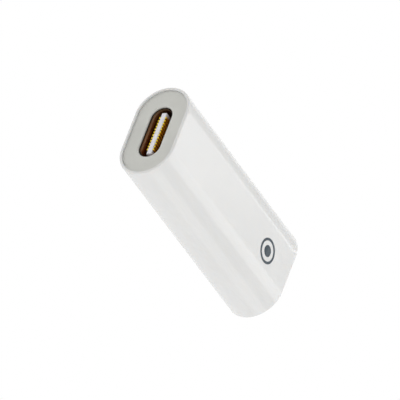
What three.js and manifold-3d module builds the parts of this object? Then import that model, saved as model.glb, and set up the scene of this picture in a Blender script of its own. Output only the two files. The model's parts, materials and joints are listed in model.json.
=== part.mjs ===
// In-line adapter: a USB-C socket at the front end, and a slim eight-contact socket for a stylus
// plug at the rear end.
// Millimetres, +Z up. The adapter lies on a broad face, with X across, Y along and the USB-C end at -Y.
// The origin is under its middle.
import * as THREE from "three";
import { mergeVertices } from "three/addons/utils/BufferGeometryUtils.js";
import Module from "manifold-3d";

const wasm = await Module();
wasm.setup();

// ---- driving dimensions ----
const LENGTH = 35.0;
const WIDTH = 15.2;
const THICKNESS = 8.9;
const FRONT = -LENGTH / 2;
const REAR = LENGTH / 2;
const AXIS_Z = THICKNESS / 2; // height of both sockets' centre line
const FIT = 0.03; // clearance between assembled pieces
const THROUGH = 0.5; // how far a cutter runs past the face it opens
const FINE_ARC = 28; // facets in a half circle of the housing
const ARC = 12; // facets in a half circle inside

// housing sleeve, and the caps glued into its two ends
const RIM = 0.43; // wall at the mouth, around each end cap
const FRONT_EDGE = 0.25;
const REAR_EDGE = 0.12;
const WALL = 1.0;
const CAP_RECESS = 0.4;
const CAP_THICKNESS = 1.2;
const CAP_EDGE = 0.08;
const MOUTH_CHAMFER = 0.1; // around the opening in each cap
const GLUE_THICKNESS = 0.08;
const SEAT_DEPTH = CAP_RECESS + CAP_THICKNESS + GLUE_THICKNESS + 2 * FIT;
const MOUTH = [WIDTH - 2 * RIM, THICKNESS - 2 * RIM];
const BORE = [WIDTH - 2 * WALL, THICKNESS - 2 * WALL];

// port mark printed on the broad top face near the rear end
const MARK_X = 0.62;
const MARK_Y = REAR - 6.64;
const RING_OUTER_R = 1.91;
const RING_INNER_R = 1.53;
const DOT_R = 0.86;
const INK = 0.02;
const INK_LIFT = 0.01;
const INK_FACETS = 64;

// USB-C socket
const USB_OPENING = [8.34, 2.56];
const USB_SHEET = 0.15;
const CAP_OPENING = [8.7, 3.58]; // through the front cap
const USB_MOUTH_HEIGHT = 3.2; // the shell's opening flares to this height at the very front
const USB_FRONT = FRONT + CAP_RECESS + 0.12;
const USB_FLARE_START = USB_FRONT + 0.15;
const USB_FLARE_END = USB_FRONT + 0.85;
const USB_SHELL_LENGTH = 8.4;
const USB_REAR = USB_FRONT + USB_SHELL_LENGTH;
const USB_BASE = USB_FRONT + 6.56; // where a plug bottoms
const TONGUE_TIP = USB_FRONT + 0.22;
const TONGUE_WIDTH = 7.1;
const TONGUE_CHAMFER = 0.08;
const TONGUE_HALF = 0.42; // half thickness of the tongue's plastic
const BED_HALF_WIDTH = 2.98; // the sunk beds that the contacts stand in
const BED_HALF = 0.36;
const BED_START = TONGUE_TIP + 0.3;
const STEP_HALF = 0.66; // half thickness of the root that carries the ground plates
const STEP_WIDTH = 7.3;
const STEP_START = USB_BASE - 1.2;
const GROUND_PLATE = 0.12;
const GROUND_PLATE_X = [-3.35, 3.35];
const BASE_REAR = USB_BASE + 1.1;
const PAD_PITCH = 0.5;
const PAD_WIDTH = 0.27;
const PAD_THICKNESS = 0.21;
const PAD_TOP = 0.6; // pad face above the centre line
const PADS_PER_ROW = 12;
const PAD_SETBACK = 0.04; // from the tongue's tip
const PAD_BEND = 0.3;
const PAD_BEND_GAP = 0.05; // behind the shell
const PAD_TAIL = 0.8;
const MID_PLATE_HALF = 0.06;
const EAR_Y = [USB_REAR - 1.8, USB_REAR - 0.4]; // the shell's two ears, soldered beside the board's notch
const EAR_REACH = 5.3;

// circuit board
const BOARD_HALF = 0.4;
const BOARD_TOP = AXIS_Z + BOARD_HALF;
const BOARD_BOTTOM = AXIS_Z - BOARD_HALF;
const BOARD_WIDTH = 11.0;
const BOARD_FRONT = FRONT + 5.0;
const BOARD_REAR = FRONT + 25.6;
const NOTCH_WIDTH = 9.0;
const NOTCH_END = USB_REAR + 0.45;
const SOLDER = 0.02;
const CHIP_LIFT = 0.05;

// eight-contact socket
const PLUG_CAVITY = [6.86, 1.62];
const PLUG_DEPTH = 7.9; // from the rear cap's face to the stop
const REAR_MOUTH = [7.1, 1.86];
const SOCKET_HALF_WIDTH = 4.55;
const SOCKET_BOTTOM = AXIS_Z - 1.5;
const SOCKET_TOP = AXIS_Z + 1.53;
const SOCKET_REAR = REAR - SEAT_DEPTH - 0.1;
const SOCKET_FRONT = BOARD_REAR + 0.3;
const PLUG_STOP = REAR - CAP_RECESS - PLUG_DEPTH;
const COVER_SHEET = 0.15;
const COVER_FOOT = 1.2;
const COVER_FOOT_TURN = 0.4; // how far the feet reach under the block's side
const COVER_SKIRT = 1.0; // how far the sides come down below the centre line
const FINGER_COUNT = 8;
const FINGER_PITCH = 0.66;
const FINGER_WIDTH = 0.3;
const FINGER_THICKNESS = 0.12;
const FINGER_SLOT = 0.46;
const FINGER_HINGE_Y = BOARD_REAR - 1.4; // front end of the soldered tails
const FINGER_ARM_TOP = AXIS_Z + 1.27;
const FINGER_BUMP_Y = SOCKET_REAR - 2.4;
const FINGER_TIP_Y = SOCKET_REAR - 1.2;
const FINGER_REACH = 0.3; // how far the bumps stand into the plug's cavity
const FINGER_CLEAR = 0.1; // height of the arms above the cavity beside the bumps
const FINGER_SINK = 0.7; // length over which the arm comes down to the bump
const FINGER_BUMP_HALF = 0.2;
const FINGER_LIFT_ROOM = 0.3; // behind the tips
const FINGER_ROOM_FLOOR = AXIS_Z + 0.95; // floor of the slots that the arms move in
const BUMP_CROWN = 0.06;
const LATCH_THICKNESS = 0.14;
const LATCH_HEIGHT = 0.9;
const LATCH_ROOT_Y = PLUG_STOP + 0.6;
const LATCH_BUMP_Y = SOCKET_REAR - 2.6;
const LATCH_TIP_Y = SOCKET_REAR - 1.7;
const LATCH_OFFSET = 0.3; // gap from the cavity's side to the arm
const LATCH_REACH = 0.3;
const LATCH_TRAVEL = 0.36;
const LATCH_BUMP_HALF = 0.15;
const LATCH_SINK = 0.6;
const LATCH_ROOM = [LATCH_ROOT_Y - 0.2, LATCH_TIP_Y + 0.15]; // of the pockets, along Y

// inner carriers
const CARRIER_FRONT = FRONT + SEAT_DEPTH + 0.15;
const CARRIER_REAR = REAR - SEAT_DEPTH - 0.15;
const CARRIER_PLAY = 0.05;
const SHELF = 0.6; // width of the ledges that clamp the board's long edges
const ROOM_ABOVE = 1.3;
const ROOM_BELOW = 0.7;
const POST_R = 0.8;
const PIN_R = 0.4;
const PIN_RISE = 0.8;
const POSTS = [[3.7, -4.4], [-3.7, 5.0]];

// ---- materials ----
function paint(color, roughness, metalness = 0) {
  return new THREE.MeshStandardMaterial({ color, roughness, metalness });
}
const whiteGloss = paint(0xe9e9e7, 0.18);
const greyPlastic = paint(0xc2c3be, 0.55);
const ink = paint(0x4f5b66, 0.5);
const steel = paint(0x8a8578, 0.3, 1);
const gold = paint(0xd9a420, 0.25, 1);
const whitePlastic = paint(0xe6e3ea, 0.5);
const blackPlastic = paint(0x1c1c1e, 0.5);
const carrierPlastic = paint(0xd8d8d4, 0.6);
const boardGreen = paint(0x14522f, 0.45);
const capacitorTan = paint(0xa98a62, 0.5);
const glue = paint(0xe8e2c8, 0.4);

// ---- solids ----
function solid(geometry) {
  const bare = geometry.index ? geometry.toNonIndexed() : geometry.clone();
  bare.deleteAttribute("normal");
  bare.deleteAttribute("uv");
  const merged = mergeVertices(bare, 1e-5);
  const mesh = new wasm.Mesh({
    numProp: 3,
    vertProperties: merged.attributes.position.array,
    triVerts: new Uint32Array(merged.index.array),
  });
  return new wasm.Manifold(mesh);
}

function geometryOf(body) {
  const mesh = body.getMesh();
  const points = new Float32Array(mesh.numVert * 3);
  for (let i = 0; i < mesh.numVert; i++) {
    points.set(mesh.vertProperties.subarray(i * mesh.numProp, i * mesh.numProp + 3), i * 3);
  }
  const geometry = new THREE.BufferGeometry();
  geometry.setAttribute("position", new THREE.BufferAttribute(points, 3));
  geometry.setIndex(new THREE.BufferAttribute(mesh.triVerts, 1));
  const flat = geometry.toNonIndexed();
  flat.computeVertexNormals();
  return flat;
}

const union = (first, ...others) => others.reduce((sum, next) => sum.add(next), first);
const cut = (first, ...others) => others.reduce((rest, next) => rest.subtract(next), first);

// An axis-aligned block from its limits.
function block([x0, x1], [y0, y1], [z0, z1]) {
  const box = new THREE.BoxGeometry(x1 - x0, y1 - y0, z1 - z0);
  return solid(box.translate((x0 + x1) / 2, (y0 + y1) / 2, (z0 + z1) / 2));
}

// The ring of an oval with full-round ends at y, about the sockets' centre line. The width is along X
// and the height along Z.
function ovalRing(width, height, y, steps) {
  const r = height / 2;
  const ring = [];
  for (const side of [1, -1]) {
    for (let i = 0; i <= steps; i++) {
      const angle = Math.PI * (i / steps - 0.5);
      const x = width / 2 - r + r * Math.cos(angle);
      ring.push(new THREE.Vector3(side * x, y, AXIS_Z + side * r * Math.sin(angle)));
    }
  }
  return ring;
}

// A closed bar through oval sections [y, width, height].
function ovalLoft(sections, steps) {
  const rings = sections.map(([y, width, height]) => ovalRing(width, height, y, steps));
  const points = [];
  for (let s = 0; s + 1 < rings.length; s++) {
    rings[s].forEach((a, i) => {
      const next = (i + 1) % rings[s].length;
      const b = rings[s][next];
      const c = rings[s + 1][next];
      const d = rings[s + 1][i];
      points.push(a, d, c, a, c, b);
    });
  }
  const first = rings[0];
  const last = rings[rings.length - 1];
  for (let i = 1; i + 1 < first.length; i++) {
    points.push(first[0], first[i], first[i + 1], last[0], last[i + 1], last[i]);
  }
  return solid(new THREE.BufferGeometry().setFromPoints(points));
}

// An oval bar from y0 to y1 whose two end edges are rounded to these radii.
function ovalBar([width, height], [y0, y1], steps, frontEdge = 0, rearEdge = frontEdge) {
  const section = (y, inset) => [y, width - 2 * inset, height - 2 * inset];
  const turns = [0, 1, 2, 3].map((n) => (n * Math.PI) / 6);
  const rounded = (y, edge, inward) =>
    turns.map((a) => section(y + inward * edge * (1 - Math.sin(a)), edge * (1 - Math.cos(a))));
  const front = frontEdge > 0 ? rounded(y0, frontEdge, 1).reverse() : [section(y0, 0)];
  const rear = rearEdge > 0 ? rounded(y1, rearEdge, -1) : [section(y1, 0)];
  return ovalLoft([...front, ...rear], steps);
}

// A prism from an outline of [along, up] points: along Y and up Z, and from x0 to x1.
function sideProfile(outline, [x0, x1]) {
  const shape = new THREE.Shape(outline.map(([y, z]) => new THREE.Vector2(y, z)));
  const prism = new THREE.ExtrudeGeometry(shape, { depth: x1 - x0, bevelEnabled: false });
  const yzx = new THREE.Matrix4().set(0, 0, 1, x0, 1, 0, 0, 0, 0, 1, 0, 0, 0, 0, 0, 1);
  return solid(prism.applyMatrix4(yzx));
}

// A prism from an outline of [x, y] points, and from z0 to z1.
function planProfile(outline, [z0, z1]) {
  const shape = new THREE.Shape(outline.map(([x, y]) => new THREE.Vector2(x, y)));
  const prism = new THREE.ExtrudeGeometry(shape, { depth: z1 - z0, bevelEnabled: false });
  return solid(prism.translate(0, 0, z0));
}

function upright(radius, [x, y], [z0, z1], facets = 16) {
  const pin = new THREE.CylinderGeometry(radius, radius, z1 - z0, facets);
  return solid(pin.rotateX(Math.PI / 2).translate(x, y, (z0 + z1) / 2));
}

const around = (centre, half) => [centre - half, centre + half];
const span = (a, b) => [Math.min(a, b), Math.max(a, b)];

const part = new THREE.Group();
function piece(name, body, material) {
  const mesh = new THREE.Mesh(geometryOf(body), material);
  mesh.name = name;
  part.add(mesh);
}

// ---- housing ----
function housingTube() {
  const outside = ovalBar([WIDTH, THICKNESS], [FRONT, REAR], FINE_ARC, FRONT_EDGE, REAR_EDGE);
  const frontSeat = ovalBar(MOUTH, [FRONT - THROUGH, FRONT + SEAT_DEPTH], FINE_ARC);
  const rearSeat = ovalBar(MOUTH, [REAR - SEAT_DEPTH, REAR + THROUGH], FINE_ARC);
  return cut(outside, ovalBar(BORE, [FRONT, REAR], FINE_ARC), frontSeat, rearSeat);
}

// A cutter for an oval opening from y0 to y1 that widens by the chamfer at its outer end, outward -1 or 1.
function chamferedOpening([width, height], [y0, y1], outward) {
  const [outer, inner] = outward < 0 ? [y0, y1] : [y1, y0];
  const section = (y, grow) => [y, width + 2 * grow, height + 2 * grow];
  const sections = [
    section(outer + outward * THROUGH, MOUTH_CHAMFER + THROUGH),
    section(outer - outward * MOUTH_CHAMFER, 0),
    section(inner - outward * THROUGH, 0),
  ];
  return ovalLoft(outward < 0 ? sections : sections.reverse(), FINE_ARC);
}

function endCap(y, opening, outward) {
  const size = MOUTH.map((side) => side - 2 * FIT);
  return cut(ovalBar(size, y, FINE_ARC, CAP_EDGE), chamferedOpening(opening, y, outward));
}

function glueRing(y0) {
  const y1 = y0 + GLUE_THICKNESS;
  const outside = ovalBar(MOUTH.map((side) => side - 4 * FIT), [y0, y1], FINE_ARC);
  const inside = BORE.map((side) => side + 4 * FIT);
  return cut(outside, ovalBar(inside, [y0 - THROUGH, y1 + THROUGH], FINE_ARC));
}

function housing() {
  const frontCap = [FRONT + CAP_RECESS, FRONT + CAP_RECESS + CAP_THICKNESS];
  const rearCap = [REAR - CAP_RECESS - CAP_THICKNESS, REAR - CAP_RECESS];
  piece("housing_tube", housingTube(), whiteGloss);
  piece("front_cap", endCap(frontCap, CAP_OPENING, -1), greyPlastic);
  piece("rear_cap", endCap(rearCap, REAR_MOUTH, 1), greyPlastic);
  piece("front_cap_glue", glueRing(frontCap[1] + FIT), glue);
  piece("rear_cap_glue", glueRing(rearCap[0] - FIT - GLUE_THICKNESS), glue);
}

function printedMark() {
  const film = [THICKNESS + INK_LIFT, THICKNESS + INK_LIFT + INK];
  const centre = [MARK_X, MARK_Y];
  const hole = upright(RING_INNER_R, centre, [THICKNESS, THICKNESS + THROUGH], INK_FACETS);
  piece("mark_ring", cut(upright(RING_OUTER_R, centre, film, INK_FACETS), hole), ink);
  piece("mark_dot", upright(DOT_R, centre, film, INK_FACETS), ink);
}

// ---- USB-C socket ----
function usbShell() {
  const grow = 2 * USB_SHEET;
  const [width, height] = USB_OPENING;
  const flare = [
    [USB_FLARE_START, width, USB_MOUTH_HEIGHT],
    [USB_FLARE_END, width, height],
  ];
  const profile = (y0, y1) => [[y0, width, USB_MOUTH_HEIGHT], ...flare, [y1, width, height]];
  const inner = profile(USB_FRONT - THROUGH, USB_REAR + THROUGH);
  const outer = profile(USB_FRONT, USB_REAR);
  const skin = ovalLoft(outer.map(([y, w, h]) => [y, w + grow, h + grow]), ARC);
  const ears = [1, -1].map((hand) => {
    const x = span(hand * (width / 2 - 0.02), hand * EAR_REACH);
    return block(x, EAR_Y, [BOARD_TOP + SOLDER, BOARD_TOP + SOLDER + USB_SHEET]);
  });
  return cut(union(skin, ...ears), ovalLoft(inner, ARC));
}

const padX = (index) => (index - (PADS_PER_ROW - 1) / 2) * PAD_PITCH;

// A contact of the upper row, side 1, or the lower row, side -1: along the tongue, then out onto the board.
function usbPad(index, side) {
  const low = PAD_TOP - PAD_THICKNESS;
  const tail = BOARD_HALF + SOLDER;
  const bend = USB_REAR + PAD_BEND_GAP;
  const path = [
    [TONGUE_TIP + PAD_SETBACK, low],
    [bend, low],
    [bend + PAD_BEND, tail],
    [bend + PAD_BEND + PAD_TAIL, tail],
  ];
  const upper = path.map(([y, z]) => [y, z + PAD_THICKNESS]).reverse();
  const outline = [...path, ...upper].map(([y, z]) => [y, AXIS_Z + side * z]);
  return sideProfile(outline, around(padX(index), PAD_WIDTH / 2));
}

// The channels that hold both rows of contacts, from y0 to y1.
function padChannels([y0, y1]) {
  const channels = [];
  for (let i = 0; i < PADS_PER_ROW; i++) {
    const x = around(padX(i), PAD_WIDTH / 2 + FIT);
    const depth = around(PAD_TOP - PAD_THICKNESS / 2, PAD_THICKNESS / 2 + FIT);
    channels.push(block(x, [y0, y1], depth.map((z) => AXIS_Z + z)));
    channels.push(block(x, [y0, y1], [AXIS_Z - depth[1], AXIS_Z - depth[0]]));
  }
  return channels;
}

// The steel plate inside the tongue: a wide blade with a narrow stem out to the rear.
function midPlate(play) {
  const half = TONGUE_WIDTH / 2 + (play > 0 ? THROUGH : 0);
  const z = around(AXIS_Z, MID_PLATE_HALF + play);
  const blade = block(around(0, half), [TONGUE_TIP + 0.9 - play, STEP_START - 0.3 + play], z);
  const stem = block(around(0, 2.2 + play), [STEP_START - 1, BASE_REAR + 0.4 + play], z);
  return union(blade, stem);
}

function usbTongue() {
  const z = [AXIS_Z - TONGUE_HALF, AXIS_Z + TONGUE_HALF];
  const rooted = USB_BASE + 0.1;
  const nose = [
    [TONGUE_TIP, z[0] + TONGUE_CHAMFER],
    [TONGUE_TIP + TONGUE_CHAMFER, z[0]],
    [rooted, z[0]],
    [rooted, z[1]],
    [TONGUE_TIP + TONGUE_CHAMFER, z[1]],
    [TONGUE_TIP, z[1] - TONGUE_CHAMFER],
  ];
  const blade = sideProfile(nose, around(0, TONGUE_WIDTH / 2));
  const step = block(around(0, STEP_WIDTH / 2), [STEP_START, rooted], around(AXIS_Z, STEP_HALF));
  const base = ovalBar(USB_OPENING.map((side) => side - 2 * FIT), [USB_BASE, BASE_REAR], ARC);
  const beds = [1, -1].map((side) => {
    const depth = span(AXIS_Z + side * BED_HALF, AXIS_Z + side * (TONGUE_HALF + THROUGH));
    return block(around(0, BED_HALF_WIDTH), [BED_START, STEP_START], depth);
  });
  const holder = union(cut(blade, ...beds), step, base);
  return cut(holder, ...padChannels([TONGUE_TIP - THROUGH, BASE_REAR + THROUGH]), midPlate(FIT));
}

function usbRearInsulator() {
  const y = [BASE_REAR + FIT, USB_REAR];
  const plug = ovalBar(USB_OPENING.map((side) => side - 2 * FIT), y, ARC);
  return cut(plug, ...padChannels([y[0] - THROUGH, y[1] + THROUGH]), midPlate(FIT));
}

function groundPlate(side) {
  const near = AXIS_Z + side * (STEP_HALF + FIT);
  return block(GROUND_PLATE_X, [STEP_START + 0.1, USB_BASE - FIT], span(near, near + side * GROUND_PLATE));
}

function usbSocket() {
  piece("usb_shell", usbShell(), steel);
  piece("usb_tongue", usbTongue(), whitePlastic);
  piece("usb_rear_insulator", usbRearInsulator(), blackPlastic);
  piece("usb_mid_plate", midPlate(0), steel);
  piece("usb_upper_ground_plate", groundPlate(1), steel);
  piece("usb_lower_ground_plate", groundPlate(-1), steel);
  for (let i = 0; i < PADS_PER_ROW; i++) {
    piece(`usb_upper_contact_${i + 1}`, usbPad(i, 1), gold);
    piece(`usb_lower_contact_${i + 1}`, usbPad(i, -1), gold);
  }
}

// ---- circuit board and its components ----
function circuitBoard() {
  const z = [BOARD_BOTTOM, BOARD_TOP];
  const sheet = block(around(0, BOARD_WIDTH / 2), [BOARD_FRONT, BOARD_REAR], z);
  const notch = block(around(0, NOTCH_WIDTH / 2), [BOARD_FRONT - THROUGH, NOTCH_END], around(AXIS_Z, 1));
  const holes = POSTS.map((place) => upright(PIN_R + 0.05, place, around(AXIS_Z, 1)));
  return cut(sheet, notch, ...holes);
}

// A component on the board's top: a body with sloping sides, as moulded and fired parts have.
function component(x, y, width, length, height) {
  const shape = new THREE.Shape();
  const slope = Math.min(0.1, height / 4);
  const w = width / 2 - slope;
  const l = length / 2 - slope;
  shape.moveTo(-w, -l).lineTo(w, -l).lineTo(w, l).lineTo(-w, l).closePath();
  const bevel = { bevelThickness: slope, bevelSize: slope, bevelSegments: 1, bevelEnabled: true };
  const body = new THREE.ExtrudeGeometry(shape, { depth: height - 2 * slope, ...bevel });
  return solid(body.translate(x, y, BOARD_TOP + CHIP_LIFT + slope));
}

function electronics() {
  piece("circuit_board", circuitBoard(), boardGreen);
  piece("controller_chip", component(0, -1.0, 3.0, 3.0, 0.75), blackPlastic);
  piece("usb_protection_chip", component(0, -5.2, 2.5, 1.0, 0.5), blackPlastic);
  piece("stylus_protection_chip", component(0, 4.2, 1.6, 1.0, 0.5), blackPlastic);
  const capacitors = [[2.7, -1.9], [2.7, 0.4], [-2.7, -0.8]];
  capacitors.forEach(([x, y], i) => {
    piece(`capacitor_${i + 1}`, component(x, y, 0.5, 1.0, 0.5), capacitorTan);
  });
  const resistors = [[2.4, -6.6], [-2.4, -5.2]];
  resistors.forEach(([x, y], i) => {
    piece(`resistor_${i + 1}`, component(x, y, 0.5, 1.0, 0.35), blackPlastic);
  });
}

// ---- eight-contact socket ----
const fingerX = (index) => (index - (FINGER_COUNT - 1) / 2) * FINGER_PITCH;

// One spring contact: a soldered tail, a rise over the board's end, and a sprung arm with a rounded bump.
function springFinger(index) {
  const tail = BOARD_TOP + SOLDER;
  const arm = FINGER_ARM_TOP - FINGER_THICKNESS;
  const ceiling = AXIS_Z + PLUG_CAVITY[1] / 2;
  const bump = ceiling - FINGER_REACH;
  const path = [
    [FINGER_HINGE_Y, tail],
    [BOARD_REAR - 0.3, tail],
    [BOARD_REAR + 0.15, arm],
    [FINGER_BUMP_Y - FINGER_SINK, ceiling + FINGER_CLEAR],
    [FINGER_BUMP_Y - FINGER_BUMP_HALF, bump + BUMP_CROWN],
    [FINGER_BUMP_Y, bump],
    [FINGER_BUMP_Y + FINGER_BUMP_HALF, bump + BUMP_CROWN],
    [FINGER_TIP_Y, ceiling + FINGER_CLEAR],
  ];
  const upper = path.map(([y, z]) => [y, z + FINGER_THICKNESS]).reverse();
  return sideProfile([...path, ...upper], around(fingerX(index), FINGER_WIDTH / 2));
}

function socketBlock() {
  const y = [SOCKET_FRONT, SOCKET_REAR];
  const body = block(around(0, SOCKET_HALF_WIDTH), y, [SOCKET_BOTTOM, SOCKET_TOP]);
  const cavity = ovalBar(PLUG_CAVITY, [PLUG_STOP, SOCKET_REAR + THROUGH], ARC);
  const slots = [];
  for (let i = 0; i < FINGER_COUNT; i++) {
    const x = around(fingerX(i), FINGER_SLOT / 2);
    const rear = FINGER_TIP_Y + FINGER_LIFT_ROOM;
    slots.push(block(x, [SOCKET_FRONT - THROUGH, rear], [FINGER_ROOM_FLOOR, SOCKET_TOP + THROUGH]));
    slots.push(block(x, [PLUG_STOP + FINGER_LIFT_ROOM, rear], [AXIS_Z, FINGER_ROOM_FLOOR + FIT]));
  }
  const side = PLUG_CAVITY[0] / 2;
  const deep = side + LATCH_OFFSET + LATCH_THICKNESS + LATCH_TRAVEL + 2 * FIT;
  const pocketZ = around(AXIS_Z, LATCH_HEIGHT / 2 + FIT);
  const pockets = [1, -1].map((hand) => block(span(hand * (side - 1), hand * deep), LATCH_ROOM, pocketZ));
  return cut(body, cavity, ...slots, ...pockets);
}

// One latch spring: a flat arm beside the plug's cavity, whose bump drops into a notch in the plug's side.
function latchSpring(hand) {
  const side = PLUG_CAVITY[0] / 2;
  const arm = side + LATCH_OFFSET;
  const bump = side - LATCH_REACH;
  const path = [
    [arm, LATCH_ROOT_Y],
    [arm, LATCH_BUMP_Y - LATCH_SINK],
    [bump + BUMP_CROWN, LATCH_BUMP_Y - LATCH_BUMP_HALF],
    [bump, LATCH_BUMP_Y],
    [bump + BUMP_CROWN, LATCH_BUMP_Y + LATCH_BUMP_HALF],
    [side + 0.05, LATCH_TIP_Y],
  ];
  const outer = path.map(([x, y]) => [x + LATCH_THICKNESS, y]).reverse();
  return planProfile([...path, ...outer].map(([x, y]) => [hand * x, y]), around(AXIS_Z, LATCH_HEIGHT / 2));
}

// The steel cover: a roof and two sides, with a foot at each side soldered to the board.
function socketCover() {
  const inside = SOCKET_HALF_WIDTH + FIT;
  const outside = inside + COVER_SHEET;
  const y = [SOCKET_FRONT, SOCKET_REAR];
  const roof = [SOCKET_TOP + FIT, SOCKET_TOP + FIT + COVER_SHEET];
  const skirt = AXIS_Z - COVER_SKIRT;
  const bend = block(around(0, outside), y, [skirt, roof[1]]);
  const hollow = block(around(0, inside), [y[0] - THROUGH, y[1] + THROUGH], [skirt - THROUGH, roof[0]]);
  const footFront = BOARD_REAR - COVER_FOOT;
  const footBottom = BOARD_TOP + SOLDER;
  const feet = [1, -1].map((hand) => {
    const x = span(hand * (inside - COVER_FOOT_TURN), hand * outside);
    return block(x, [footFront, SOCKET_FRONT - 2 * FIT], [footBottom, footBottom + COVER_SHEET]);
  });
  const links = [1, -1].map((hand) => {
    const x = span(hand * inside, hand * outside);
    return block(x, [footFront, SOCKET_FRONT + 0.1], [footBottom, BOARD_TOP + 0.5]);
  });
  return union(cut(bend, hollow), ...feet, ...links);
}

function stylusSocket() {
  piece("socket_block", socketBlock(), blackPlastic);
  piece("socket_cover", socketCover(), steel);
  piece("latch_spring_right", latchSpring(1), steel);
  piece("latch_spring_left", latchSpring(-1), steel);
  for (let i = 0; i < FINGER_COUNT; i++) {
    piece(`spring_contact_${i + 1}`, springFinger(i), gold);
  }
}

// ---- inner carriers ----
// Half of the oval core that fills the sleeve, with room for what it holds. Side 1 is above the board
// and side -1 below it.
function carrier(side) {
  const core = ovalBar(BORE.map((s) => s - 2 * CARRIER_PLAY), [CARRIER_FRONT, CARRIER_REAR], FINE_ARC);
  const band = (near, far) => span(AXIS_Z + side * near, AXIS_Z + side * far);
  const length = [CARRIER_FRONT - THROUGH, CARRIER_REAR + THROUGH];
  const otherHalf = block(around(0, WIDTH), length, band(FIT / 2, -THICKNESS));
  const boardRoom = block(
    around(0, BOARD_WIDTH / 2 + CARRIER_PLAY),
    [BOARD_FRONT - CARRIER_PLAY, BOARD_REAR + CARRIER_PLAY],
    band(-1, BOARD_HALF + FIT),
  );
  const usbRoom = ovalBar(
    [USB_OPENING[0] + 2 * USB_SHEET + 2 * CARRIER_PLAY, USB_OPENING[1] + 2 * USB_SHEET + 2 * CARRIER_PLAY],
    [length[0], USB_REAR + CARRIER_PLAY],
    ARC,
  );
  const earRoom = block(
    around(0, EAR_REACH + CARRIER_PLAY),
    [EAR_Y[0] - CARRIER_PLAY, EAR_Y[1] + CARRIER_PLAY],
    band(-1, BOARD_HALF + SOLDER + USB_SHEET + CARRIER_PLAY),
  );
  const room = side > 0 ? ROOM_ABOVE : ROOM_BELOW;
  const shelf = BOARD_WIDTH / 2 - SHELF;
  const partRoom = block(around(0, shelf), [USB_REAR - 2.2, SOCKET_FRONT], band(-1, BOARD_HALF + room));
  const coverTop = SOCKET_TOP + COVER_SHEET + 0.1;
  const socketRoof = side > 0 ? coverTop - AXIS_Z : AXIS_Z - SOCKET_BOTTOM + CARRIER_PLAY;
  const socketRoom = block(
    around(0, SOCKET_HALF_WIDTH + COVER_SHEET + 2 * CARRIER_PLAY),
    [SOCKET_FRONT - CARRIER_PLAY - 0.3, length[1]],
    band(-1, socketRoof),
  );
  return cut(core, otherHalf, boardRoom, usbRoom, earRoom, partRoom, socketRoom);
}

// The lower carrier's posts stand under the board, and their pins pass through it.
function lowerCarrier() {
  const floor = BOARD_BOTTOM - ROOM_BELOW;
  const posts = POSTS.map((place) => upright(POST_R, place, [floor - 0.2, BOARD_BOTTOM - FIT]));
  const pins = POSTS.map((place) => upright(PIN_R, place, [floor - 0.2, BOARD_TOP + PIN_RISE]));
  return union(carrier(-1), ...posts, ...pins);
}

function upperCarrier() {
  const ceiling = BOARD_TOP + ROOM_ABOVE;
  const posts = POSTS.map((place) => upright(POST_R, place, [BOARD_TOP + FIT, ceiling + 0.2]));
  const sockets = POSTS.map((place) => {
    return upright(PIN_R + 0.05, place, [BOARD_TOP, BOARD_TOP + PIN_RISE + 0.1]);
  });
  return cut(union(carrier(1), ...posts), ...sockets);
}

housing();
printedMark();
usbSocket();
electronics();
stylusSocket();
piece("lower_carrier", lowerCarrier(), carrierPlastic);
piece("upper_carrier", upperCarrier(), carrierPlastic);

export default part;
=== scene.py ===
"""A small white in-line adapter on a pale studio floor: a USB-C socket in one end, a slim one in the other.

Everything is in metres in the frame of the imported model: X across, Y from the USB-C end to the rear end,
Z up out of the printed face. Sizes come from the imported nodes' boxes.
"""
import json
import math

import bmesh
import bpy
from mathutils import Matrix, Vector


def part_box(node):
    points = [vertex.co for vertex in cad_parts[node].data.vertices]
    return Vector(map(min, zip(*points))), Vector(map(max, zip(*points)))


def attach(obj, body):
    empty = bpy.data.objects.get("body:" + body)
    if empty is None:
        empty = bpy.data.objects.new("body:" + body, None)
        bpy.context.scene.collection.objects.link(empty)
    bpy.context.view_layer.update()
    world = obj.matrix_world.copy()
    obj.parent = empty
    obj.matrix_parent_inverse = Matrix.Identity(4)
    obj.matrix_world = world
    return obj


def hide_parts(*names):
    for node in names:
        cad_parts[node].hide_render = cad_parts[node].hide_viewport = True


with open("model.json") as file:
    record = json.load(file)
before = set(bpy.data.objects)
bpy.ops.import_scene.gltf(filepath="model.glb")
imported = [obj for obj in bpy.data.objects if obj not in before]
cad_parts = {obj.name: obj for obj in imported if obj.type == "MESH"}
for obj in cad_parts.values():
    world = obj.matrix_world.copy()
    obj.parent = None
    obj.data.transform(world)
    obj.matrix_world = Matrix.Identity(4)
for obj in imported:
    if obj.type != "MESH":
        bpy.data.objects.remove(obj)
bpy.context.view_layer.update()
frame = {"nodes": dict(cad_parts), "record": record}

MM = 0.001
BODY = "adapter_body"
NODES = frame["nodes"]
SLOTS = {row["node"]: row["material_slot"] for row in frame["record"]["subparts"]}


# ---------------------------------------------------------------- camera, floor and light

CAMERA_AZIMUTH = 36.19
CAMERA_ELEVATION = 32.95
CAMERA_ROLL = -89.57
CAMERA_DISTANCE = 1.7072
CAMERA_LENS = 1080
AIM_OFF_CENTRE = Vector((0.11, -0.75, -1.04)) * MM
FRAMING = Vector((-0.05, 0.08)) * MM  # moves the aim along the picture's width and height

SKY_AT_FRONT = 0.45  # brightness of the sky towards -Y and towards +Y
SKY_AT_REAR = 0.61
FLOOR_BASE = 0.12  # share of the light that the unseen floor reflects, and how bright it glows
FLOOR_GLOW = 0.86
FLOOR_HALF = 1.2
FLOOR_DROP = 0.2 * MM  # of the unseen floor below the seen one
LIGHT_AIM = Vector((0, 0, 0.004))
AWAY_ALONG = 0.677  # direction from the camera to the adapter: its part along Y, and its part across Y
AWAY_ACROSS = 0.736


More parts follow.
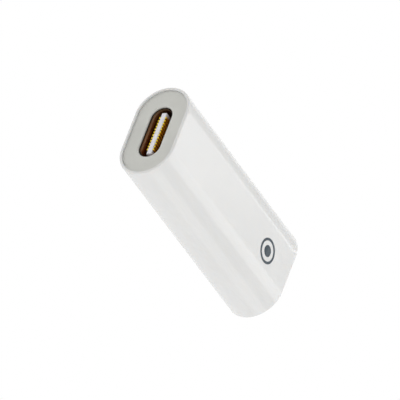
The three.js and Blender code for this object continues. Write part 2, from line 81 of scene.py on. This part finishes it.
def add_camera():
    """A long lens, rolled so that the adapter's USB-C end is up and to the left."""
    low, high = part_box("housing_tube")
    aim = (low + high) / 2 + AIM_OFF_CENTRE
    azimuth, elevation, roll = (math.radians(a) for a in (CAMERA_AZIMUTH, CAMERA_ELEVATION, CAMERA_ROLL))
    across = Vector((math.cos(azimuth), math.sin(azimuth), 0))
    back = Vector((math.sin(azimuth), -math.cos(azimuth), 0)) * math.cos(elevation)
    back.z = math.sin(elevation)
    above = back.cross(across)
    right = across * math.cos(roll) - above * math.sin(roll)
    up = above * math.cos(roll) + across * math.sin(roll)
    data = bpy.data.cameras.new("camera")
    data.lens = CAMERA_LENS
    data.sensor_width = 36
    data.clip_start = 0.01
    data.clip_end = 10
    camera = bpy.data.objects.new("camera", data)
    bpy.context.scene.collection.objects.link(camera)
    aim += right * FRAMING.x + up * FRAMING.y
    turn = Matrix((right, up, back)).transposed().to_4x4()
    camera.matrix_world = Matrix.Translation(aim + back * CAMERA_DISTANCE) @ turn
    bpy.context.scene.camera = camera


def add_floor(name, z, base, emission):
    """A pale sheet at height z, which reflects base of the light and glows by emission."""
    mesh = bpy.data.meshes.new(name)
    half = FLOOR_HALF
    corners = [(-half, -half, z), (half, -half, z), (half, half, z), (-half, half, z)]
    mesh.from_pydata(corners, [], [(0, 1, 2, 3)])
    floor = bpy.data.objects.new(name, mesh)
    bpy.context.scene.collection.objects.link(floor)
    material = bpy.data.materials.new(name + "_paint")
    material.use_nodes = True
    bsdf = material.node_tree.nodes["Principled BSDF"]
    bsdf.inputs["Base Color"].default_value = (base, base, base, 1)
    bsdf.inputs["Roughness"].default_value = 0.9
    bsdf.inputs["Specular IOR Level"].default_value = 0
    bsdf.inputs["Emission Color"].default_value = (1, 1, 1, 1)
    bsdf.inputs["Emission Strength"].default_value = emission
    mesh.materials.append(material)
    return floor


def add_floors():
    """An overexposed white floor to look at, and just under it the floor that lights the adapter."""
    seen = add_floor("seen_floor", 0, 0, 1.0)
    seen.visible_diffuse = False
    seen.visible_glossy = False
    seen.visible_transmission = False
    seen.visible_shadow = False
    lit = add_floor("lit_floor", -FLOOR_DROP, FLOOR_BASE, FLOOR_GLOW)
    lit.visible_camera = False


def add_softbox(name, place, size, radiance):
    """A rectangular area light at place, turned towards the adapter, with a face as bright as radiance."""
    data = bpy.data.lights.new(name, "AREA")
    data.shape = "RECTANGLE"
    data.size, data.size_y = size
    data.energy = 4 * size[0] * size[1] * radiance
    light = bpy.data.objects.new(name, data)
    bpy.context.scene.collection.objects.link(light)
    light.location = place
    light.rotation_mode = "QUATERNION"
    light.rotation_quaternion = (LIGHT_AIM - Vector(place)).to_track_quat("-Z", "Y")


def behind(turn, distance=0.7):
    """A place behind the adapter as the camera sees it, turn degrees from the vertical towards +X.

    A point of the side whose normal leans by half of (turn + 42) degrees mirrors this place to the camera.
    """
    turn = math.radians(turn)
    across = distance * AWAY_ACROSS
    return (across * math.sin(turn), distance * AWAY_ALONG, across * math.cos(turn))


def add_light():
    """A sky that brightens towards +Y, and softboxes round the adapter."""
    world = bpy.data.worlds.new("studio")
    bpy.context.scene.world = world
    world.use_nodes = True
    tree = world.node_tree
    sky = tree.nodes["Background"]
    sky.inputs["Color"].default_value = (1, 1, 1, 1)
    direction = tree.nodes.new("ShaderNodeTexCoord")
    split = tree.nodes.new("ShaderNodeSeparateXYZ")
    dimming = tree.nodes.new("ShaderNodeMapRange")
    dimming.inputs["From Min"].default_value = -1
    dimming.inputs["From Max"].default_value = 1
    dimming.inputs["To Min"].default_value = SKY_AT_FRONT
    dimming.inputs["To Max"].default_value = SKY_AT_REAR
    tree.links.new(direction.outputs["Generated"], split.inputs[0])
    tree.links.new(split.outputs["Y"], dimming.inputs["Value"])
    tree.links.new(dimming.outputs["Result"], sky.inputs["Strength"])
    add_softbox("overhead", (0.05, 0.12, 0.6), (0.5, 0.35), 0.4)
    add_softbox("front", (0.28, -0.4, 0.6), (0.35, 0.35), 1.8)
    add_softbox("right_side", (0.6, 0.1, 0.25), (0.35, 0.35), 1.2)
    add_softbox("left_side", (-0.5, 0.05, 0.45), (0.4, 0.35), 1.35)
    add_softbox("key", behind(-15), (0.38, 0.5), 1.08)
    add_softbox("strip", behind(-47, 0.68), (0.045, 0.5), 1.25)
    add_softbox("fill", behind(74), (0.3, 0.4), 0.8)
    bpy.context.scene.view_settings.view_transform = "Standard"
    bpy.context.scene.view_settings.look = "None"


# ---------------------------------------------------------------- mesh tools

FILLET = 5  # steps in a rounded edge
DISC_STEPS = 144  # steps round a printed circle
SLEEVE_ARC = 64  # steps in a half circle of the sleeve, and of the caps and the USB-C shell
CAP_ARC = 48
SHELL_ARC = 48


def oval_ring(y, half_width, half_height, z, steps):
    """Points of an oval with full-round ends, in the XZ plane at y, about the height z."""
    ring = []
    for side in (1, -1):
        for i in range(steps + 1):
            angle = math.pi * (i / steps - 0.5)
            x = half_width - half_height + half_height * math.cos(angle)
            ring.append(Vector((side * x, y, z + side * half_height * math.sin(angle))))
    return ring


def rounded(corners, steps=FILLET):
    """A closed loop of (y, half width, half height) points, from corners that add a radius to these."""
    loop = []
    count = len(corners)
    for i, (*corner, radius) in enumerate(corners):
        corner = Vector(corner)
        before = Vector(corners[i - 1][:3]) - corner
        after = Vector(corners[(i + 1) % count][:3]) - corner
        before /= max(abs(v) for v in before)
        after /= max(abs(v) for v in after)
        if radius == 0:
            loop.append(corner)
            continue
        for n in range(steps + 1):
            turn = math.pi / 2 * n / steps
            along_before = before * radius * (1 - math.sin(turn))
            along_after = after * radius * (1 - math.cos(turn))
            loop.append(corner + along_before + along_after)
    return loop


def stepped(loop, longest):
    """The closed loop with its long straight runs split into steps of at most longest."""
    points = []
    for point, following in zip(loop, loop[1:] + loop[:1]):
        count = max(1, math.ceil((following - point).length / longest))
        points += [point.lerp(following, n / count) for n in range(count)]
    return points


def new_object(name, bm):
    """A smooth-shaded object from the bmesh, with its normals outward."""
    bmesh.ops.recalc_face_normals(bm, faces=bm.faces)
    mesh = bpy.data.meshes.new(name)
    bm.to_mesh(mesh)
    bm.free()
    obj = bpy.data.objects.new(name, mesh)
    bpy.context.scene.collection.objects.link(obj)
    mesh.polygons.foreach_set("use_smooth", [True] * len(mesh.polygons))
    return obj


def oval_solid(name, loop, z, steps):
    """A closed ring-shaped solid: the section loop carried round the ovals."""
    bm = bmesh.new()
    rings = [[bm.verts.new(p) for p in oval_ring(y, a, b, z, steps)] for y, a, b in loop]
    for ring, following in zip(rings, rings[1:] + rings[:1]):
        for i in range(len(ring)):
            j = (i + 1) % len(ring)
            bm.faces.new((ring[i], ring[j], following[j], following[i]))
    return new_object(name, bm)


def even_normals(obj):
    """Keeps large flats flat where they meet rounded edges."""
    modifier = obj.modifiers.new("even_normals", "WEIGHTED_NORMAL")
    modifier.mode = "FACE_AREA"
    modifier.keep_sharp = True


def disc(name, centre, rings):
    """A solid of revolution about the vertical through centre, from (radius, height) rings.

    A ring of radius 0 is a point that closes it.
    """
    bm = bmesh.new()
    made = []
    for radius, height in rings:
        ring = []
        for i in range(DISC_STEPS if radius else 1):
            turn = 2 * math.pi * i / DISC_STEPS
            place = Vector((radius * math.cos(turn), radius * math.sin(turn), height))
            ring.append(bm.verts.new(centre + place))
        made.append(ring)
    closed = all(radius > 0 for radius, _ in rings)
    following = made[1:] + (made[:1] if closed else [])
    for ring, after in zip(made, following):
        for i in range(DISC_STEPS):
            j = (i + 1) % DISC_STEPS
            corners = [ring[i % len(ring)], ring[j % len(ring)]]
            corners += [after[j % len(after)], after[i % len(after)]]
            bm.faces.new(list(dict.fromkeys(corners)))
    return new_object(name, bm)


# ---------------------------------------------------------------- materials


class Surface:
    """A procedural material in millimetres of the object's own space."""

    def __init__(self, name, roughness, metallic=0.0, **constants):
        self.material = bpy.data.materials.new(name)
        self.material.use_nodes = True
        self.tree = self.material.node_tree
        self.bsdf = self.tree.nodes["Principled BSDF"]
        self.bsdf.inputs["Roughness"].default_value = roughness
        self.bsdf.inputs["Metallic"].default_value = metallic
        for socket, value in constants.items():
            self.bsdf.inputs[socket.replace("_", " ")].default_value = value
        self.coordinates = self.add("ShaderNodeTexCoord")
        self.scaled = self.add("ShaderNodeMapping")
        self.scaled.inputs["Scale"].default_value = (1 / MM, 1 / MM, 1 / MM)
        self.link(self.coordinates.outputs["Object"], self.scaled.inputs["Vector"])

    def add(self, kind, **settings):
        node = self.tree.nodes.new(kind)
        for key, value in settings.items():
            setattr(node, key, value)
        return node

    def link(self, output, socket):
        self.tree.links.new(output, socket)

    def noise(self, per_mm, detail=3.0, stretch=(1, 1, 1)):
        """Noise with about per_mm bumps in a millimetre, drawn out along an axis by a stretch under 1."""
        mapping = self.add("ShaderNodeMapping")
        mapping.inputs["Scale"].default_value = stretch
        self.link(self.scaled.outputs["Vector"], mapping.inputs["Vector"])
        noise = self.add("ShaderNodeTexNoise")
        noise.inputs["Scale"].default_value = per_mm
        noise.inputs["Detail"].default_value = detail
        self.link(mapping.outputs["Vector"], noise.inputs["Vector"])
        return noise.outputs["Fac"]

    def ramp(self, value, stops):
        """A colour ramp from (position, grey or colour) stops."""
        ramp = self.add("ShaderNodeValToRGB")
        elements = ramp.color_ramp.elements
        while len(elements) < len(stops):
            elements.new(0.5)
        for element, (position, colour) in zip(elements, stops):
            element.position = position
            element.color = (*colour, 1) if isinstance(colour, tuple) else (colour, colour, colour, 1)
        self.link(value, ramp.inputs["Fac"])
        return ramp.outputs["Color"]

    def mix(self, factor, first, second):
        mix = self.add("ShaderNodeMix", data_type="RGBA")
        self.put(factor, mix.inputs["Factor"])
        self.put(first, mix.inputs["A"])
        self.put(second, mix.inputs["B"])
        return mix.outputs["Result"]

    def put(self, value, socket):
        if isinstance(value, bpy.types.NodeSocket):
            self.link(value, socket)
        elif isinstance(value, tuple):
            socket.default_value = (*value, 1)
        else:
            socket.default_value = value

    def colour(self, value):
        self.put(value, self.bsdf.inputs["Base Color"])

    def roughness(self, value):
        self.put(value, self.bsdf.inputs["Roughness"])

    def bump(self, *layers):
        """Bump from (height socket, depth in mm) layers, each on top of the one before."""
        normal = None
        for height, depth in layers:
            bump = self.add("ShaderNodeBump")
            bump.inputs["Strength"].default_value = 1
            bump.inputs["Distance"].default_value = depth * MM
            self.link(height, bump.inputs["Height"])
            if normal:
                self.link(normal, bump.inputs["Normal"])
            normal = bump.outputs["Normal"]
        self.link(normal, self.bsdf.inputs["Normal"])

    def edges(self):
        """1 on convex edges, found by pointiness, 0 elsewhere."""
        geometry = self.add("ShaderNodeNewGeometry")
        return self.ramp(geometry.outputs["Pointiness"], [(0.52, 0.0), (0.6, 1.0)])

    def math(self, operation, first, second):
        node = self.add("ShaderNodeMath", operation=operation)
        for socket, value in zip(node.inputs, (first, second)):
            self.put(value, socket)
        return node.outputs[0]

    def place(self, generated=False):
        """The X, Y and Z of the surface in mm, or as 0 to 1 across the object's box."""
        split = self.add("ShaderNodeSeparateXYZ")
        source = self.coordinates.outputs["Generated"] if generated else self.scaled.outputs["Vector"]
        self.link(source, split.inputs[0])
        return split.outputs

    def span(self, value, start, end):
        """0 where value is start, 1 where it is end."""
        span = self.add("ShaderNodeMapRange")
        self.put(value, span.inputs["Value"])
        span.inputs["From Min"].default_value = start
        span.inputs["From Max"].default_value = end
        return span.outputs["Result"]


def tint(colour, factor):
    return tuple(min(1.0, c * factor) for c in colour)


def white_gloss():
    s = Surface("white_gloss", 0.14, IOR=1.42, Coat_Weight=0.1, Coat_Roughness=0.08, Subsurface_Weight=0.4)
    s.bsdf.inputs["Subsurface Radius"].default_value = (1, 0.9, 0.8)
    s.bsdf.inputs["Subsurface Scale"].default_value = 0.4 * MM
    white = (0.765, 0.765, 0.755)
    cloud = s.ramp(s.noise(0.12, 2), [(0.35, tint(white, 0.99)), (0.65, tint(white, 1.01))])
    s.colour(cloud)
    s.roughness(s.ramp(s.noise(1.5, 4, (1, 0.25, 1)), [(0.4, 0.12), (0.7, 0.17)]))
    s.bump((s.noise(0.9, 2), 0.002), (s.noise(14, 2), 0.0004))
    return s.material


def cap_grain():
    s = Surface("cap_grain", 0.5, Subsurface_Weight=0.6)
    s.bsdf.inputs["Subsurface Radius"].default_value = (1, 1, 1)
    s.bsdf.inputs["Subsurface Scale"].default_value = 0.8 * MM
    grey = (0.655, 0.657, 0.617)
    cloud = s.ramp(s.noise(0.5, 3), [(0.35, tint(grey, 0.98)), (0.65, tint(grey, 1.02))])
    s.colour(cloud)
    s.roughness(s.ramp(s.noise(9, 2), [(0.35, 0.46), (0.65, 0.58)]))
    s.bump((s.noise(7, 3), 0.006), (s.noise(22, 2), 0.002))
    return s.material


def slate_ink():
    s = Surface("slate_ink", 0.4, Specular_IOR_Level=0.3)
    slate = (0.055, 0.075, 0.092)
    s.colour(s.ramp(s.noise(3, 4), [(0.35, tint(slate, 0.92)), (0.65, tint(slate, 1.08))]))
    s.roughness(s.ramp(s.noise(12, 3), [(0.4, 0.3), (0.6, 0.42)]))
    s.bump((s.noise(16, 3), 0.001))
    return s.material


def steel(name, colour, roughness):
    """Rolled steel with a fine grain along Y."""
    s = Surface(name, roughness, 1.0)
    grain = s.noise(16, 4, (1, 0.08, 1))
    patches = s.ramp(s.noise(0.8, 3), [(0.35, tint(colour, 0.8)), (0.7, tint(colour, 1.15))])
    s.colour(s.mix(s.edges(), patches, tint(colour, 1.5)))
    s.roughness(s.ramp(grain, [(0.3, roughness * 0.8), (0.7, roughness * 1.3)]))
    s.bump((grain, 0.0015))
    return s.material


def shell_bronze():
    """Drawn steel with a warm dark tone, black at its rolled lip, with painted light and shade: a lighter
    band just behind the lip that darkens deeper into the socket.
    """
    s = Surface("shell_bronze", 0.38, 0.85)
    bronze = (0.15, 0.05, 0.012)
    painted_lit_band = (0.42, 0.27, 0.155)
    black = (0.006, 0.005, 0.004)
    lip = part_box("usb_shell")[0].y / MM
    grain = s.noise(5, 4, (1, 0.1, 1))
    warm = s.ramp(grain, [(0.3, tint(bronze, 0.7)), (0.7, tint(bronze, 1.3))])
    depth = s.place()["Y"]
    # painted light and shade: lighter band just behind the lip, dark bronze deeper in the socket
    inner = s.mix(s.span(depth, lip + 0.3, lip + 0.5), painted_lit_band, warm)
    s.colour(s.mix(s.span(depth, lip + 0.03, lip + 0.09), black, inner))
    s.roughness(s.ramp(grain, [(0.3, 0.3), (0.7, 0.46)]))
    s.bump((s.noise(16, 4, (1, 0.08, 1)), 0.0015))
    return s.material


SHADE_HALF_WIDTH = 2.99  # of the painted shade, dark brown, between the contacts, in mm
SHADE_START = 0.09  # behind the tongue's tip
SHADE_HALF_HEIGHT = 0.45


def tongue_nylon():
    """Cool white nylon, with dark brown painted shade between the contacts."""
    s = Surface("tongue_nylon", 0.38, Subsurface_Weight=0.5)
    s.bsdf.inputs["Subsurface Radius"].default_value = (1, 1, 1)
    s.bsdf.inputs["Subsurface Scale"].default_value = 0.5 * MM
    white = (0.88, 0.87, 0.94)
    brown = (0.022, 0.007, 0.002)
    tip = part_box("usb_tongue")[0].y / MM
    x, y, z = s.place()
    rise = s.math("SUBTRACT", z, MIDDLE_Z / MM)
    inside = s.math("LESS_THAN", s.math("ABSOLUTE", x, 0), SHADE_HALF_WIDTH)
    behind_tip = s.math("GREATER_THAN", y, tip + SHADE_START)
    low = s.math("LESS_THAN", s.math("ABSOLUTE", rise, 0), SHADE_HALF_HEIGHT)
    # painted shade: dark brown where the socket's shade falls between the contacts
    shade_mask = s.math("MULTIPLY", s.math("MULTIPLY", inside, behind_tip), low)
    cloud = s.ramp(s.noise(0.9, 3), [(0.35, tint(white, 0.97)), (0.65, tint(white, 1.03))])
    painted_shade = s.ramp(s.noise(3, 3), [(0.35, tint(brown, 0.7)), (0.65, tint(brown, 1.3))])
    s.colour(s.mix(shade_mask, cloud, painted_shade))
    s.roughness(s.ramp(s.noise(10, 3), [(0.35, 0.34), (0.65, 0.44)]))
    s.bump((s.noise(10, 3), 0.002))
    return s.material


def tinned(name, colour, roughness):
    """A chip component: fired or glazed body with tinned ends along its length."""
    s = Surface(name, roughness)
    along = s.place(generated=True)["Y"]
    ends = s.math("GREATER_THAN", s.math("ABSOLUTE", s.math("SUBTRACT", along, 0.5), 0), 0.27)
    body = s.ramp(s.noise(2, 3), [(0.35, tint(colour, 0.9)), (0.65, tint(colour, 1.1))])
    s.colour(s.mix(ends, body, (0.62, 0.62, 0.60)))
    s.put(ends, s.bsdf.inputs["Metallic"])
    s.roughness(s.ramp(s.noise(8, 3), [(0.35, roughness * 0.85), (0.65, roughness * 1.15)]))
    s.bump((s.noise(12, 3), 0.002))
    return s.material


def usb_gold():
    """Gold contacts, yellow at their front ends, with painted shade in orange-brown behind them."""
    s = Surface("usb_contact_gold", 0.3, 0.3)
    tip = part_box("usb_upper_contact_1")[0].y / MM
    bright = (0.92, 0.66, 0.01)
    shade_orange = (0.95, 0.36, 0.015)
    shaded_gold = s.ramp(s.noise(3, 3, (1, 0.3, 1)), [(0.35, tint(shade_orange, 0.8)), (0.65, tint(shade_orange, 1.15))])
    depth = s.place()["Y"]
    # painted shade: yellow only at the lit front ends, orange-brown deeper in the socket
    s.colour(s.mix(s.span(depth, tip, tip + 0.09), bright, shaded_gold))
    s.roughness(s.ramp(s.noise(20, 3, (1, 0.15, 1)), [(0.3, 0.26), (0.7, 0.4)]))
    s.bump((s.noise(24, 3, (1, 0.15, 1)), 0.001))
    return s.material


def gold():
    s = Surface("contact_gold", 0.3, 0.6)
    colour = (1.0, 0.60, 0.03)
    patches = s.ramp(s.noise(1.2, 3), [(0.35, tint(colour, 0.86)), (0.7, tint(colour, 1.04))])
    s.colour(s.mix(s.edges(), patches, (1.0, 0.75, 0.12)))
    s.roughness(s.ramp(s.noise(20, 3, (1, 0.15, 1)), [(0.3, 0.2), (0.7, 0.34)]))
    s.bump((s.noise(24, 3, (1, 0.15, 1)), 0.001))
    return s.material


def moulded(name, colour, roughness):
    """Matte moulded plastic."""
    s = Surface(name, roughness)
    cloud = s.ramp(s.noise(0.9, 3), [(0.35, tint(colour, 0.95)), (0.65, tint(colour, 1.05))])
    s.colour(s.mix(s.edges(), cloud, tint(colour, 1.15)))
    s.roughness(s.ramp(s.noise(10, 3), [(0.35, roughness * 0.9), (0.65, roughness * 1.1)]))
    s.bump((s.noise(10, 3), 0.003))
    return s.material


# ---------------------------------------------------------------- the housing

housing_low, housing_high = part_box("housing_tube")
MIDDLE_Z = (housing_low.z + housing_high.z) / 2
RIM = 0.43 * MM
WALL = 1.0 * MM
FRONT_EDGE = 0.25 * MM  # radii of the rounded edges: the sleeve's outer edges at its two ends
REAR_EDGE = 0.12 * MM
RIM_EDGE = 0.05 * MM  # the inner edges of its rims and steps
MOUTH_EDGE = 0.03 * MM  # the edges of the caps' mouths and of the USB-C shell's rear end
CORNER = 0.02 * MM  # the sharpest edges and the corners of steps
SLEEVE_STEP = 1.0 * MM  # longest faces of the sleeve, the caps and the shell, along their sections
CAP_STEP = 0.3 * MM
SHELL_STEP = 0.8 * MM


def box_ring(node):
    """(front y, rear y, half width, half height) of a node's box."""
    low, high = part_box(node)
    return low.y, high.y, (high.x - low.x) / 2, (high.z - low.z) / 2


def housing_sleeve(material):
    front, rear, a, b = box_ring("housing_tube")
    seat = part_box("front_cap_glue")[1].y - front
    corners = [
        (front, a, b, FRONT_EDGE),
        (rear, a, b, REAR_EDGE),
        (rear, a - RIM, b - RIM, RIM_EDGE),
        (rear - seat, a - RIM, b - RIM, CORNER),
        (rear - seat, a - WALL, b - WALL, RIM_EDGE),
        (front + seat, a - WALL, b - WALL, RIM_EDGE),
        (front + seat, a - RIM, b - RIM, CORNER),
        (front, a - RIM, b - RIM, RIM_EDGE),
    ]
    loop = stepped(rounded(corners), SLEEVE_STEP)
    return finish_piece(oval_solid("housing_sleeve", loop, MIDDLE_Z, SLEEVE_ARC), "housing_tube", material)


USB_OPENING = (4.35 * MM, 1.79 * MM)  # half sizes of the caps' oval mouths
STYLUS_OPENING = (3.55 * MM, 0.93 * MM)
MOUTH_CHAMFER = 0.1 * MM
CAP_PROUD = 0.12 * MM  # how much further out a plate's face is than the CAD cap's
CAP_FIT = 0.03 * MM  # how much closer a plate fits its rim than the CAD cap does


def end_cap(name, node, opening, outward, material):
    """A cap plate with an oval opening of the given half sizes. It faces outward, -1 or 1 along Y."""
    front, rear, a, b = box_ring(node)
    outer, inner = (front - CAP_PROUD, rear) if outward < 0 else (rear + CAP_PROUD, front)
    p, q = opening
    grow = MOUTH_CHAMFER
    a, b = a + CAP_FIT, b + CAP_FIT
    corners = [
        (outer, a, b, CORNER),
        (inner, a, b, CORNER),
        (inner, p, q, MOUTH_EDGE),
        (outer - outward * grow, p, q, CORNER),
        (outer, p + grow, q + grow, MOUTH_EDGE),
    ]
    loop = stepped(rounded(corners), CAP_STEP)
    return finish_piece(oval_solid(name, loop, MIDDLE_Z, CAP_ARC), node, material)


def finish_piece(obj, node, material, body=BODY):
    """obj gets its material, stands for the CAD node and rides on its body."""
    obj.data.materials.clear()
    obj.data.materials.append(material)
    even_normals(obj)
    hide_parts(node)
    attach(obj, body)
    return obj


RING_HOLE = 0.801  # of the ring's radius
FILM_EDGE = 0.6  # of the film's height


def printed_mark(material):
    """The ring and the dot, thin films of ink with soft edges."""
    for name, node in (("ink_ring", "mark_ring"), ("ink_dot", "mark_dot")):
        low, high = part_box(node)
        centre = (low + high) / 2
        centre.z = low.z
        radius = (high.x - low.x) / 2
        film = high.z - low.z
        edge = film * FILM_EDGE
        if node == "mark_ring":
            inner = radius * RING_HOLE
            rings = [(inner, 0), (inner, film - edge), (inner + edge, film)]
            rings += [(radius - edge, film), (radius, film - edge), (radius, 0)]
        else:
            rings = [(0, film), (radius - edge, film), (radius, film - edge), (radius, 0), (0, 0)]
        finish_piece(disc(name, centre, rings), node, material)


# ---------------------------------------------------------------- USB-C socket


SHEET = 0.15 * MM
EAR_Y = (1.8 * MM, 0.4 * MM)  # how far the ears' ends are from the shell's rear end
EAR_TOP = 0.57 * MM  # above the middle
EAR_ROOT = 0.8  # how far through the shell's sheet an ear starts, so that it overlaps the sheet
SHELL_OPENING = (4.17 * MM, 1.28 * MM)
SHELL_MOUTH = 1.6 * MM  # half height of the opening at the lip
FLARE = (0.12 * MM, 0.88 * MM)  # behind the lip
FLARE_STEPS = 10
LIP_EDGE = 0.06 * MM
LIP_FILLET = 4  # steps in the shell's rounded edges


def usb_shell(material):
    """The drawn steel shell: a rolled lip, a mouth that narrows in an S curve, and two soldered ears."""
    front, rear, reach, _ = box_ring("usb_shell")
    width, height = SHELL_OPENING
    inner = []
    for n in range(FLARE_STEPS + 1):
        t = n / FLARE_STEPS
        ease = t * t * (3 - 2 * t)
        y = front + FLARE[0] + t * (FLARE[1] - FLARE[0])
        inner.append((y, width, SHELL_MOUTH + (height - SHELL_MOUTH) * ease, 0))
    outer = [(y, a + SHEET, b + SHEET, 0) for y, a, b, _ in inner]
    lip = [
        (front, width, SHELL_MOUTH, LIP_EDGE),
        (front, width + SHEET, SHELL_MOUTH + SHEET, LIP_EDGE),
    ]
    back = [(rear, width + SHEET, height + SHEET, MOUTH_EDGE), (rear, width, height, MOUTH_EDGE)]
    loop = stepped(rounded(lip + outer + back + inner[::-1], LIP_FILLET), SHELL_STEP)
    tube = oval_solid("usb_shell_tube", loop, MIDDLE_Z, SHELL_ARC)
    finish_piece(tube, "usb_shell", material)
    ear_top = MIDDLE_Z + EAR_TOP
    for hand, name in ((1, "usb_ear_right"), (-1, "usb_ear_left")):
        x = sorted((hand * (width + SHEET * EAR_ROOT), hand * reach))
        ear = slab(name, x, (rear - EAR_Y[0], rear - EAR_Y[1]), (ear_top - SHEET, ear_top))
        finish_piece(ear, "usb_shell", material)


SLAB_EDGE = 0.2  # of a slab's thickness


def slab(name, x, y, z):
    """A box between the given ends, with fine rounded edges."""
    bm = bmesh.new()
    bmesh.ops.create_cube(bm, size=1)
    for vertex in bm.verts:
        ends = [pair[0] if c < 0 else pair[1] for c, pair in zip(vertex.co, (x, y, z))]
        vertex.co = Vector(ends)
    edge = SLAB_EDGE * min(high - low for low, high in (x, y, z))
    bmesh.ops.bevel(bm, geom=list(bm.edges), offset=edge, segments=2, profile=0.5, affect="EDGES")
    return new_object(name, bm)


FLAT_ANGLE = math.radians(1)  # faces that meet at less than this become one
WORN_EDGE = 0.02 * MM
BEND_ANGLE = math.radians(30)  # edges sharper than this are rounded


def dress(node, material):
    """A CAD node keeps its shape and gets fine rounded edges and its material."""
    obj = NODES[node]
    obj.data.materials.clear()
    obj.data.materials.append(material)
    merge = obj.modifiers.new("merge_flats", "DECIMATE")
    merge.decimate_type = "DISSOLVE"
    merge.angle_limit = FLAT_ANGLE
    bevel = obj.modifiers.new("rounded_edges", "BEVEL")
    bevel.width = WORN_EDGE
    bevel.segments = 2
    bevel.limit_method = "ANGLE"
    bevel.angle_limit = BEND_ANGLE
    bevel.use_clamp_overlap = True
    even_normals(obj)


def build():
    white = white_gloss()
    grey = cap_grain()
    plate = steel("plate_steel", (0.55, 0.54, 0.51), 0.3)
    golden = gold()
    black = moulded("black_nylon", (0.012, 0.012, 0.013), 0.45)
    housing_sleeve(white)
    end_cap("front_cap_plate", "front_cap", USB_OPENING, -1, grey)
    end_cap("rear_cap_plate", "rear_cap", STYLUS_OPENING, 1, grey)
    printed_mark(slate_ink())
    usb_shell(shell_bronze())
    by_slot = {
        "plate_steel": plate, "spring_steel": plate, "contact_gold": golden,
        "tongue_white": tongue_nylon(), "insulator_black": black, "chip_black": black,
        "resistor_black": tinned("resistor_glaze", (0.015, 0.015, 0.017), 0.3),
        "carrier_plastic": moulded("carrier_abs", (0.6, 0.6, 0.58), 0.55),
        "board_green": moulded("board_mask", (0.01, 0.09, 0.035), 0.35),
        "capacitor_tan": tinned("capacitor_ceramic", (0.4, 0.26, 0.13), 0.4),
        "cap_glue": moulded("cap_glue", (0.8, 0.76, 0.58), 0.3),
    }
    contacts = usb_gold()
    for node, slot in SLOTS.items():
        if not NODES[node].hide_render:
            usb_contact = node.startswith("usb_") and slot == "contact_gold"
            dress(node, contacts if usb_contact else by_slot[slot])


add_camera()
add_floors()
add_light()
build()
